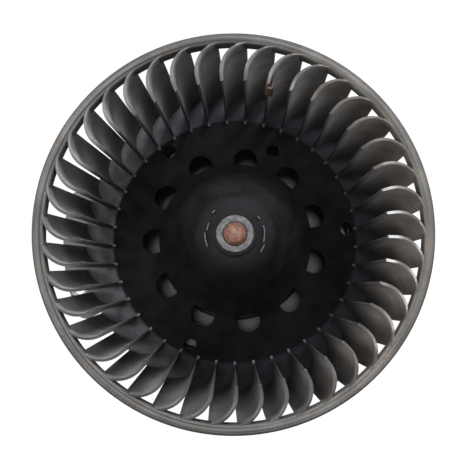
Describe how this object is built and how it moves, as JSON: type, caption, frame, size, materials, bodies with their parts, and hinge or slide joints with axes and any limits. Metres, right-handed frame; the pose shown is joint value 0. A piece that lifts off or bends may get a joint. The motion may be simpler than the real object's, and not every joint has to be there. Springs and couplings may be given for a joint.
{
  "type": "car cabin blower motor",
  "caption": "Squirrel-cage blower wheel with a bell-shaped vented hub on a brushed motor, which hangs in a three-eared flange on rubber isolators, with a socket on its rear cover.",
  "frame": {"origin": "centre of the mounting flange's three bolt holes, in the plane of its mating face", "axes": "+Z along the shaft towards the wheel's open side; -X towards the supply socket and the flange's wide ear"},
  "size_m": [0.1433, 0.143, 0.1343],
  "materials": {
    "moulded_polypropylene": "moulded, dusty",
    "glass_filled_plastic": "moulded, dusty",
    "cover_plastic": "moulded",
    "zinc_bush": "die cast, dull",
    "rusty_shaft_steel": "ground, its end rusted",
    "rusty_clip_steel": "spring steel, rusted",
    "lamination_steel": "stacked sheet",
    "enamelled_copper": "wound wire",
    "commutator_copper": "turned",
    "phenolic_resin": "moulded",
    "fibre_insulation": "pressed fibre",
    "ferrite": "sintered",
    "plated_steel": "drawn, zinc plated",
    "spring_steel": "rolled",
    "sintered_bronze": "sintered",
    "brass_sheet": "stamped",
    "carbon": "pressed graphite",
    "capacitor_resin": "dipped",
    "screw_steel": "zinc plated",
    "black_rubber": "moulded"
  },
  "bodies": {
    "stator": {"motor_can": "plated_steel", "magnet_left": "ferrite", "magnet_right": "ferrite", "magnet_springs": "spring_steel", "bearing_upper": "sintered_bronze", "bearing_retainer_upper": "spring_steel", "bearing_lower": "sintered_bronze", "bearing_retainer_lower": "spring_steel", "end_plate": "plated_steel", "brush_card": "phenolic_resin", "brush_holder_front": "brass_sheet", "brush_holder_rear": "brass_sheet", "brush_spring_front": "spring_steel", "brush_spring_rear": "spring_steel", "choke_cores": "ferrite", "choke_windings": "enamelled_copper", "suppressor": "capacitor_resin", "terminal_front": "brass_sheet", "terminal_rear": "brass_sheet", "rear_cover": "cover_plastic", "cover_screws": "screw_steel", "mounting_flange": "glass_filled_plastic", "flange_sleeves": "screw_steel", "can_seal": "black_rubber", "motor_bracket": "plated_steel", "isolator_1": "black_rubber", "isolator_2": "black_rubber", "isolator_3": "black_rubber", "bracket_screws": "screw_steel"},
    "rotor": {"fan_wheel": "moulded_polypropylene", "wheel_bush": "zinc_bush", "balance_clip": "rusty_clip_steel", "motor_shaft": "rusty_shaft_steel", "armature_core": "lamination_steel", "armature_insulators": "fibre_insulation", "armature_winding": "enamelled_copper", "commutator_hub": "phenolic_resin", "commutator_bars": "commutator_copper", "thrust_washer_upper": "fibre_insulation", "thrust_washer_lower": "fibre_insulation"},
    "brush_front": {"brush_front": "carbon"},
    "brush_rear": {"brush_rear": "carbon"}
  },
  "joints": [
    {"name": "rotor_spin", "type": "hinge", "parent": "stator", "child": "rotor", "pos_m": [0, 0, 0], "axis": [0, 0, 1], "continuous": true},
    {"name": "brush_front_slide", "type": "slide", "parent": "stator", "child": "brush_front", "axis": [0, -1, 0], "range_m": [0, 0.003], "stiffness_N_per_m": 200, "springref_m": -0.008, "deforming": ["brush_spring_front"]},
    {"name": "brush_rear_slide", "type": "slide", "parent": "stator", "child": "brush_rear", "axis": [0, 1, 0], "range_m": [0, 0.003], "stiffness_N_per_m": 200, "springref_m": -0.008, "deforming": ["brush_spring_rear"]}
  ]
}
